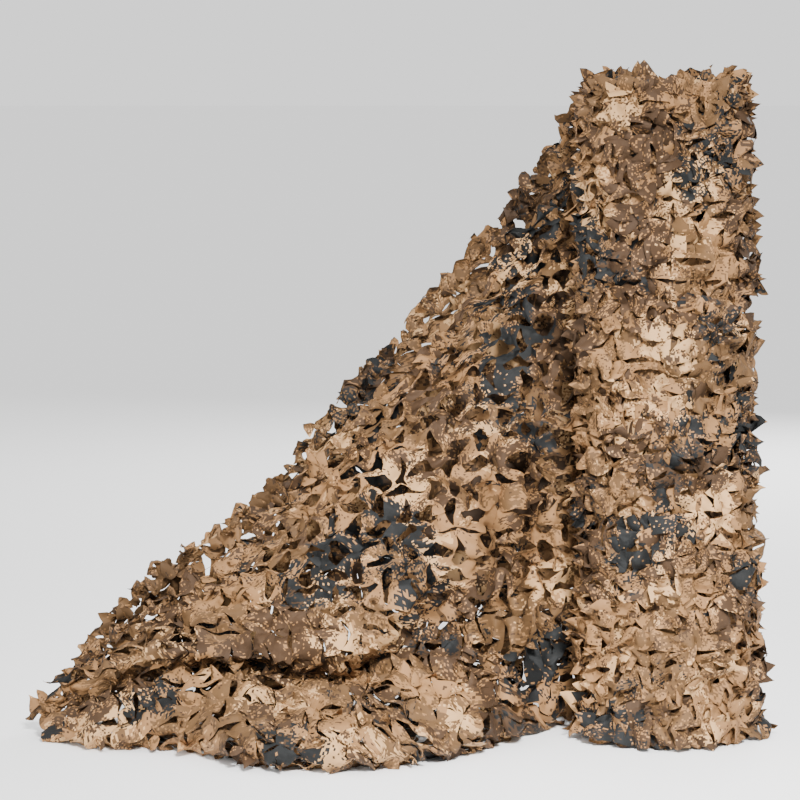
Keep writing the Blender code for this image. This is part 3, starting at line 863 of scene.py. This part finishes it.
BACK_SECTIONS = (
    seated_section(0.030, BACK_SEAT, 1.480),
    seated_section(-0.060, BACK_SEAT, 1.470),
    (-0.200, 0.232, 1.420, -0.200, 0.250, 0.84, 0.255, 0.58, 0.260, 0.33, 0.268, 0.12, 0.275),
    (-0.260, 0.235, 1.315, -0.255, 0.255, 0.75, 0.258, 0.50, 0.270, 0.27, 0.290, 0.09, 0.140),
    (-0.330, 0.225, 1.210, -0.320, 0.250, 0.62, 0.250, 0.38, 0.290, 0.19, 0.340, 0.06, 0.080),
    (-0.450, 0.205, 1.075, -0.440, 0.250, 0.45, 0.240, 0.27, 0.320, 0.15, 0.400, 0.045, 0.020),
    (-0.600, 0.180, 0.895, -0.580, 0.260, 0.27, 0.210, 0.17, 0.310, 0.14, 0.420, 0.045, -0.030),
    (-0.750, 0.155, 0.740, -0.720, 0.260, 0.22, 0.200, 0.14, 0.300, 0.13, 0.400, 0.045, -0.060),
    (-0.870, 0.135, 0.580, -0.840, 0.240, 0.20, 0.180, 0.13, 0.270, 0.125, 0.360, 0.040, -0.060),
    (-1.000, 0.120, 0.465, -0.970, 0.210, 0.18, 0.160, 0.12, 0.230, 0.115, 0.310, 0.040, -0.030),
    (-1.150, 0.105, 0.365, -1.120, 0.180, 0.17, 0.140, 0.11, 0.200, 0.105, 0.260, 0.035, 0.040),
    (-1.270, 0.100, 0.235, -1.245, 0.145, 0.14, 0.125, 0.09, 0.165, 0.080, 0.210, 0.030, 0.060),
    (-1.370, 0.110, 0.095, -1.350, 0.125, 0.065, 0.130, 0.045, 0.145, 0.028, 0.165, 0.015, 0.190),
)

# A fold is a soft ridge, or a trough where its rise is negative, from one place of the drape to another.
FOLD_COLUMNS = ("x_a", "z_a", "x_b", "z_b", "half_width", "rise")
FRONT_FOLDS = (
    (-0.250, 0.02, -0.235, 0.80, 0.030, 0.038),
    (-0.300, 0.02, -0.285, 0.66, 0.026, -0.034),
    (-0.350, 0.02, -0.335, 0.60, 0.028, 0.044),
    (-0.400, 0.06, -0.380, 0.56, 0.026, -0.032),
    (-0.450, 0.10, -0.425, 0.62, 0.030, 0.036),
    (-0.720, 0.20, -0.440, 0.42, 0.034, 0.024),
    (-0.800, 0.32, -0.520, 0.62, 0.045, 0.016),
    (-0.620, 0.40, -0.360, 0.86, 0.050, -0.012),
    (-1.180, 0.20, -0.940, 0.30, 0.040, 0.014),
)
BACK_FOLDS = (
    (-0.300, 0.10, -0.290, 0.90, 0.050, -0.020),
    (-0.520, 0.08, -0.480, 0.70, 0.060, -0.022),
    (-0.780, 0.10, -0.720, 0.55, 0.060, -0.020),
    (-1.020, 0.08, -0.990, 0.36, 0.050, -0.015),
)


def smooth_rows(rows, knots, wanted):
    """A Catmull-Rom curve through rows at uneven knots, read at the wanted places."""
    gaps = np.diff(knots)[:, None]
    rises = np.diff(rows, axis=0) / gaps
    inner = (rises[:-1] * gaps[1:] + rises[1:] * gaps[:-1]) / (gaps[:-1] + gaps[1:])
    slopes = np.vstack((rises[:1], inner, rises[-1:]))
    span = np.clip(np.searchsorted(knots, wanted, side="right") - 1, 0, len(knots) - 2)
    gap = gaps[span]
    part = ((wanted - knots[span]) / gap[:, 0])[:, None]
    start = rows[span] * (2 * part ** 3 - 3 * part ** 2 + 1)
    end = rows[span + 1] * (3 * part ** 2 - 2 * part ** 3)
    start_slope = slopes[span] * gap * (part ** 3 - 2 * part ** 2 + part)
    end_slope = slopes[span + 1] * gap * (part ** 3 - part ** 2)
    return start + start_slope + end + end_slope


def section_points(section):
    """Points of one section, from the upper selvage to the lower one, as x, y and z."""
    part = dict(zip(SECTION_COLUMNS, section))
    lean = part["foot_x"] - part["top_x"]
    panel_y = part["top_y"] + PANEL_Y_SHARE * (part["brow_y"] - part["top_y"])
    panel_z = part["top_z"] + PANEL_Z_SHARE * (part["brow_z"] - part["top_z"])
    heel_y = part["toe_y"] + HEEL_Y_SHARE * (part["tail_y"] - part["toe_y"])
    heel_z = FLOOR_Z + HEEL_Z_SHARE * part["toe_z"]
    panel_x, brow_x, crease_x, lobe_x = (part["top_x"] + share * lean for share in LEAN_SHARES)
    return np.array((
        (part["top_x"], part["top_y"], part["top_z"]),
        (panel_x, panel_y, panel_z),
        (brow_x, part["brow_y"], part["brow_z"]),
        (crease_x, part["crease_y"], part["crease_z"]),
        (lobe_x, part["lobe_y"], part["lobe_z"]),
        (part["foot_x"], part["toe_y"], part["toe_z"]),
        (part["foot_x"], heel_y, heel_z),
        (part["foot_x"], part["tail_y"], FLOOR_Z),
    ))


def measured_line(section):
    """A section as a fine line, from its upper edge, with each point's distance below the net's full height.

    The distance is taken as plumb at the brow, so the cuts lie level on the hanging part."""
    points = section_points(section)
    steps = np.linalg.norm(np.diff(points, axis=0), axis=1)
    knots = np.concatenate(((0.0,), np.cumsum(np.sqrt(steps))))
    line = smooth_rows(points, knots, np.linspace(0.0, knots[-1], SECTION_SAMPLES))
    length = np.concatenate(((0.0,), np.cumsum(np.linalg.norm(np.diff(line, axis=0), axis=1))))
    brow = np.argmin(np.linalg.norm(line - points[2], axis=1))
    return line, length - length[brow] + NET_WIDTH - line[brow, 2]


def fold_rise(folds, x, z):
    """Sum of the folds that cross the sections, at points of the drape."""
    total = np.zeros_like(x)
    for row in folds:
        fold = dict(zip(FOLD_COLUMNS, row))
        run_x = fold["x_b"] - fold["x_a"]
        run_z = fold["z_b"] - fold["z_a"]
        share = ((x - fold["x_a"]) * run_x + (z - fold["z_a"]) * run_z) / (run_x ** 2 + run_z ** 2)
        held = np.clip(share, 0.0, 1.0)
        away = np.hypot(x - fold["x_a"] - held * run_x, z - fold["z_a"] - held * run_z)
        total += fold["rise"] * np.exp(-(away / fold["half_width"]) ** 2)
    return total


# Wavelength and height of each swell of a ply's surface.
PLY_SWELLS = ((0.13, 0.006), (0.30, 0.006))

# Folds and swells fade out over these distances towards the seat, and from the first height to the floor.
SEAT_BLEND = 0.08
FLOOR_LEVEL = 0.01
FLOOR_BLEND = 0.04


def ply_grid(sections, folds, seat, seed, depth):
    """Middle of a ply over a given depth of rows, and the distances where each section starts and ends."""
    columns = 170
    rows = 200
    table = np.array(sections)
    knots = -table[:, 0]
    places = smooth_rows(table, knots, np.linspace(knots[0], knots[-1], columns + 1))
    grid = np.zeros((columns + 1, rows + 1, 3))
    limits = np.zeros((columns + 1, 2))
    wanted = np.linspace(0.0, depth, rows + 1)
    for column, section in enumerate(places):
        line, distance = measured_line(section)
        limits[column] = distance[0], distance[-1]
        grid[column] = np.stack([np.interp(wanted, distance, line[:, axis]) for axis in range(3)], axis=1)
        above = np.maximum(distance[0] - wanted, 0.0)[:, None]
        beyond = np.maximum(wanted - distance[-1], 0.0)[:, None]
        first = line[0] - line[3]
        last = line[-1] - line[-4]
        grid[column] += above * first / np.linalg.norm(first) + beyond * last / np.linalg.norm(last)
    off_seat = np.clip((SEAT_END_X - grid[..., 0]) / SEAT_BLEND, 0, 1)
    free = off_seat * np.clip((grid[..., 2] - FLOOR_LEVEL) / FLOOR_BLEND, 0, 1)
    grid[..., 1] -= fold_rise(folds, grid[..., 0], grid[..., 2]) * free
    normals = surface_normals(grid)
    swell = sum(soft_waves(grid, wavelength, seed + number) * height
                for number, (wavelength, height) in enumerate(PLY_SWELLS))
    grid += normals * (swell * free)[..., None]
    near = grid[..., 0] > SEAT_END_X
    grid[..., 1] = np.where(near, np.maximum(grid[..., 1], seat), grid[..., 1])
    grid[..., 2] = np.maximum(grid[..., 2], FLOOR_Z)
    return grid, limits


# Along the upper edge, in cells: the depth that holds CROWDED_MORE rows besides its own, how far past those
# rows cells are kept, the reach of the leaf tips past the edge, and the tips to a cell. Spacing and reach of
# the tips vary in waves along the edge.
CROWDED_DEPTH = 3.0
CROWDED_MORE = 2.0
EDGE_MARGIN = 0.4
EDGE_LEAF = 0.70
EDGE_LEAF_LEAST = 0.12
EDGE_TIPS = 1.3
TIP_SPACING_VARIES = 0.4
TIP_SPACING_WAVE = 2.3
TIP_REACH = 0.8
TIP_REACH_VARIES = 0.4
TIP_REACH_WAVE = 3.7


def read_line(values, shares):
    """Values given at even steps of a length, read at shares of it."""
    return np.interp(shares, np.linspace(0, 1, len(values)), values)


def crowd_at_edge(places, edge_here):
    """Crowds the rows above the ply's upper edge into the first ones below it, and draws what still stands
    past the edge in to a line of leaf tips. edge_here is the edge's place across the net at each point."""
    below = places[:, 1] - edge_here
    crowded = CROWDED_DEPTH - (CROWDED_DEPTH - below) * CROWDED_DEPTH / (CROWDED_DEPTH + CROWDED_MORE)
    places[:, 1] = edge_here + np.where(below < CROWDED_DEPTH, crowded, below)
    past = edge_here - places[:, 1]
    turn = places[:, 0] * EDGE_TIPS + TIP_SPACING_VARIES * np.sin(places[:, 0] * TIP_SPACING_WAVE)
    tallness = TIP_REACH + TIP_REACH_VARIES * np.sin(places[:, 0] * TIP_REACH_WAVE)
    reach = EDGE_LEAF * (EDGE_LEAF_LEAST + (1 - np.abs(np.sin(math.pi * turn))) * tallness)
    places[:, 1] += np.where(past > 0, past - reach * np.tanh(past / reach), 0.0)


# Pull and lift of the cuts differ where the ply lies in the roll's seat, a share of its length, where it
# hangs above its pile on the floor, and in the cells bared at its upper edge, where some cuts gape.
SEATED_SHARE = 0.11
SEATED_BLEND = 0.05
PILE_HEIGHT = 0.32
PILE_BLEND = 0.05
BARED_DEPTH = 4.0
GAP_SHARE = 0.50
GAP_PULL = 0.25
NO_GAP_PULL = -0.05
LYING_PULL = 0.03
SEATED_LIFT = 0.05
PILE_LESS_LIFT = 0.08
BARED_MORE_LIFT = 0.25
PLY_STEPS = 8
PLY_TIP = 0.35
PLY_RUFFLE = 0.16
PLY_CRUMPLE = 0.9
BARED_MORE_CRUMPLE = 1.1

# Turned leaves keep clear of the edges by these depths, in cells, and of the roll by a share of the length.
# They are more on the pile and near the upper edge, which also has a row of its own.
TOP_MARGIN = 0.5
TAIL_MARGIN = 3
LEAFY_FROM = 0.16
PILE_LEAFINESS = 2.2
NEAR_EDGE_DEPTH = 2.6
NEAR_EDGE_SHARE = 1.8
IN_CELL = (0.2, 0.8)
EDGE_LEAVES = 75
EDGE_LEAVES_ALONG = (0.14, 0.99)
EDGE_LEAVES_DOWN = (0.05, 0.6)
PLY_LEAF_LENGTH = LEAF_LENGTH * 0.80
PLY_MOST_TILT = 0.70


def hang_ply(name, sections, folds, seat, seed, rows, opening, fullness, outward_share, leaf_share,
             rear_leaf_share, cloth, print_start):
    """One ply of the loose length, with the turned leaves on it.

    opening is the pull of the hanging cloth and fullness its lift, in cells. leaf_share and rear_leaf_share
    are how many cells have a turned leaf on the side that shows and behind."""
    columns = round((sections[0][0] - sections[-1][0]) / CUT_PITCH)
    grid, limits = ply_grid(sections, folds, seat, seed, rows * CUT_PITCH)
    edge = limits[:, 0]
    shares, downs = even_shares(columns, rows)

    # Where the ply lies off the seat, where it hangs above the pile, and how near its upper edge is.
    heights = read_grid(grid, shares.ravel(), downs.ravel())[:, 2].reshape(shares.shape)
    unseated = np.clip((shares - SEATED_SHARE) / SEATED_BLEND, 0.0, 1.0)
    tight = 1.0 / (1.0 + np.exp((PILE_HEIGHT - heights) / PILE_BLEND))
    below_edge = downs * rows - read_line(edge, shares) / CUT_PITCH
    bared = np.exp(-np.maximum(below_edge + CROWDED_MORE, 0.0) / BARED_DEPTH)
    dice = np.random.default_rng(seed + LEAF_SEED)
    edge_gaps = np.where(dice.uniform(0, 1, shares.shape) < GAP_SHARE, GAP_PULL, NO_GAP_PULL)
    pull = LYING_PULL + unseated * tight * (opening * (1 - bared) + edge_gaps * bared - LYING_PULL)
    lift = SEATED_LIFT + unseated * (fullness - PILE_LESS_LIFT * (1 - tight)
                                     + BARED_MORE_LIFT * bared * tight)

    # The cells between the ply's upper and lower edges are kept.
    middle = (np.arange(columns) + 0.5) / columns
    first, last = (read_line(limits[:, end], middle)[:, None] for end in (0, 1))
    distance = ((np.arange(rows) + 0.5) * CUT_PITCH)[None, :]
    kept = (distance > first - (CROWDED_MORE + EDGE_MARGIN) * CUT_PITCH) & (distance < last)
    net = leaf_cut_net(columns, rows, PLY_STEPS, np.random.default_rng(seed), pull, lift, PLY_TIP, PLY_RUFFLE,
                       kept, outward_share)
    crowd_at_edge(net["places"], read_line(edge / CUT_PITCH, net["places"][:, 0] / columns))
    ply = lay_net(name + "_net", grid, net, print_start, cloth, seed,
                  PLY_CRUMPLE + BARED_MORE_CRUMPLE * bared)
    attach(ply, "root")
    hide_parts(name)

    shown = (distance > first + TOP_MARGIN * CUT_PITCH) & (distance < last - TAIL_MARGIN * CUT_PITCH)

    def leaves_on_side(leaves_name, side, leaf_cloth, likely):
        """Leaves in the cells that show, and the edge's row. A cell's leaf is as likely as given, and what
        that is past 1 is the chance of a second leaf."""
        column, row = np.nonzero(shown & (dice.uniform(0, 1, shown.shape) < likely))
        again_column, again_row = np.nonzero(shown & (dice.uniform(0, 1, shown.shape) < likely - 1.0))
        count = len(column) + len(again_column)
        column = np.concatenate((column, again_column)) + dice.uniform(*IN_CELL, count)
        row = np.concatenate((row, again_row)) + dice.uniform(*IN_CELL, count)
        edge_column = np.linspace(*EDGE_LEAVES_ALONG, EDGE_LEAVES) * columns
        edge_row = (read_line(edge, edge_column / columns) / CUT_PITCH
                    + dice.uniform(*EDGE_LEAVES_DOWN, EDGE_LEAVES))
        leaf_shares = np.concatenate((column, edge_column)) / columns
        leaf_downs = np.concatenate((row, edge_row)) / rows
        return stand_leaves(name + leaves_name, grid, leaf_shares, leaf_downs, (columns, rows), print_start,
                            leaf_cloth, PLY_LEAF_LENGTH, PLY_MOST_TILT, seed, side)

    near_edge = distance < first + NEAR_EDGE_DEPTH * CUT_PITCH
    leafy = (middle > LEAFY_FROM)[:, None] * (PILE_LEAFINESS - (PILE_LEAFINESS - 1) * tight[:-1, :-1])
    likely = np.where(near_edge, NEAR_EDGE_SHARE, leaf_share) * leafy
    on_ply = [leaves_on_side("_leaves", 1.0, cloth, likely)]
    if rear_leaf_share > 0.0:
        likely = np.full(shown.shape, rear_leaf_share)
        on_ply.append(leaves_on_side("_rear_leaves", -1.0, open_cloth, likely))


hang_ply("front_ply", FRONT_SECTIONS, FRONT_FOLDS, FRONT_SEAT, seed=21, rows=44, opening=0.22, fullness=0.42,
         outward_share=0.8, leaf_share=0.28, rear_leaf_share=0.0, cloth=open_cloth, print_start=(4.4, 15.2))
# The back ply's net and its leaves on the side that shows take the cloth darkened as painted shade.
hang_ply("back_ply", BACK_SECTIONS, BACK_FOLDS, BACK_SEAT, seed=31, rows=40, opening=-0.17, fullness=0.30,
         outward_share=0.35, leaf_share=0.80, rear_leaf_share=0.75, cloth=painted_shade_cloth,
         print_start=(6.6, 11.5))

bpy.data.objects.remove(leaf)


# ==== Studio ============================================================================================
# A plain pale floor, a key light high in front, a broad fill light at the left and one behind, in a pale
# room. The camera has a long lens, level with the roll's top.
FLOOR_HALF = 150.0
FLOOR_SHADE = 0.94
FLOOR_ROUGHNESS = 0.9


def studio_floor():
    """A plain level floor, far wider than the view."""
    mesh = bpy.data.meshes.new("studio_floor")
    corners = [(-FLOOR_HALF, -FLOOR_HALF, 0), (FLOOR_HALF, -FLOOR_HALF, 0), (FLOOR_HALF, FLOOR_HALF, 0),
               (-FLOOR_HALF, FLOOR_HALF, 0)]
    mesh.from_pydata(corners, [], [(0, 1, 2, 3)])
    surface = bpy.data.materials.new("studio_floor")
    surface.use_nodes = True
    shader = surface.node_tree.nodes["Principled BSDF"]
    shader.inputs["Base Color"].default_value = (FLOOR_SHADE, FLOOR_SHADE, FLOOR_SHADE, 1.0)
    shader.inputs["Roughness"].default_value = FLOOR_ROUGHNESS
    mesh.materials.append(surface)
    floor = add_object("studio_floor", mesh)


def soft_light(name, place, target, size, power, spread=180.0):
    """A square soft light of a size in metres and a power in watts, turned to a target."""
    lamp = bpy.data.lights.new(name, "AREA")
    lamp.shape = "SQUARE"
    lamp.size = size
    lamp.energy = power
    lamp.spread = math.radians(spread)
    light = add_object(name, lamp)
    light.location = place
    light.rotation_euler = (Vector(target) - Vector(place)).to_track_quat("-Z", "Y").to_euler()


studio_floor()
soft_light("key", place=(0.1, -5.9, 3.9), target=(-0.22, 0.0, 0.05), size=1.0, power=80.0, spread=38.0)
soft_light("fill", place=(-3.4, -5.2, 1.8), target=(-0.6, 0.0, 0.5), size=2.2, power=160.0)
soft_light("back", place=(1.8, 6.5, 3.2), target=(-0.3, 0.0, 0.6), size=2.4, power=380.0)

ROOM_LIGHT = 1.3
world = bpy.data.worlds.new("studio")
world.use_nodes = True
room = world.node_tree.nodes["Background"]
room.inputs["Color"].default_value = (1.0, 1.0, 1.0, 1.0)
room.inputs["Strength"].default_value = ROOM_LIGHT
bpy.context.scene.world = world

CAMERA_PLACE = (-0.60, -8.30, 1.50)
CAMERA_DIP = math.radians(5.077)
FOCAL_LENGTH = 167.0
FILM_WIDTH = 36.0
lens = bpy.data.cameras.new("studio_camera")
lens.lens = FOCAL_LENGTH
lens.sensor_width = FILM_WIDTH
camera = add_object("studio_camera", lens)
camera.location = CAMERA_PLACE
camera.rotation_euler = Euler((math.pi / 2 - CAMERA_DIP, 0.0, 0.0))
bpy.context.scene.camera = camera
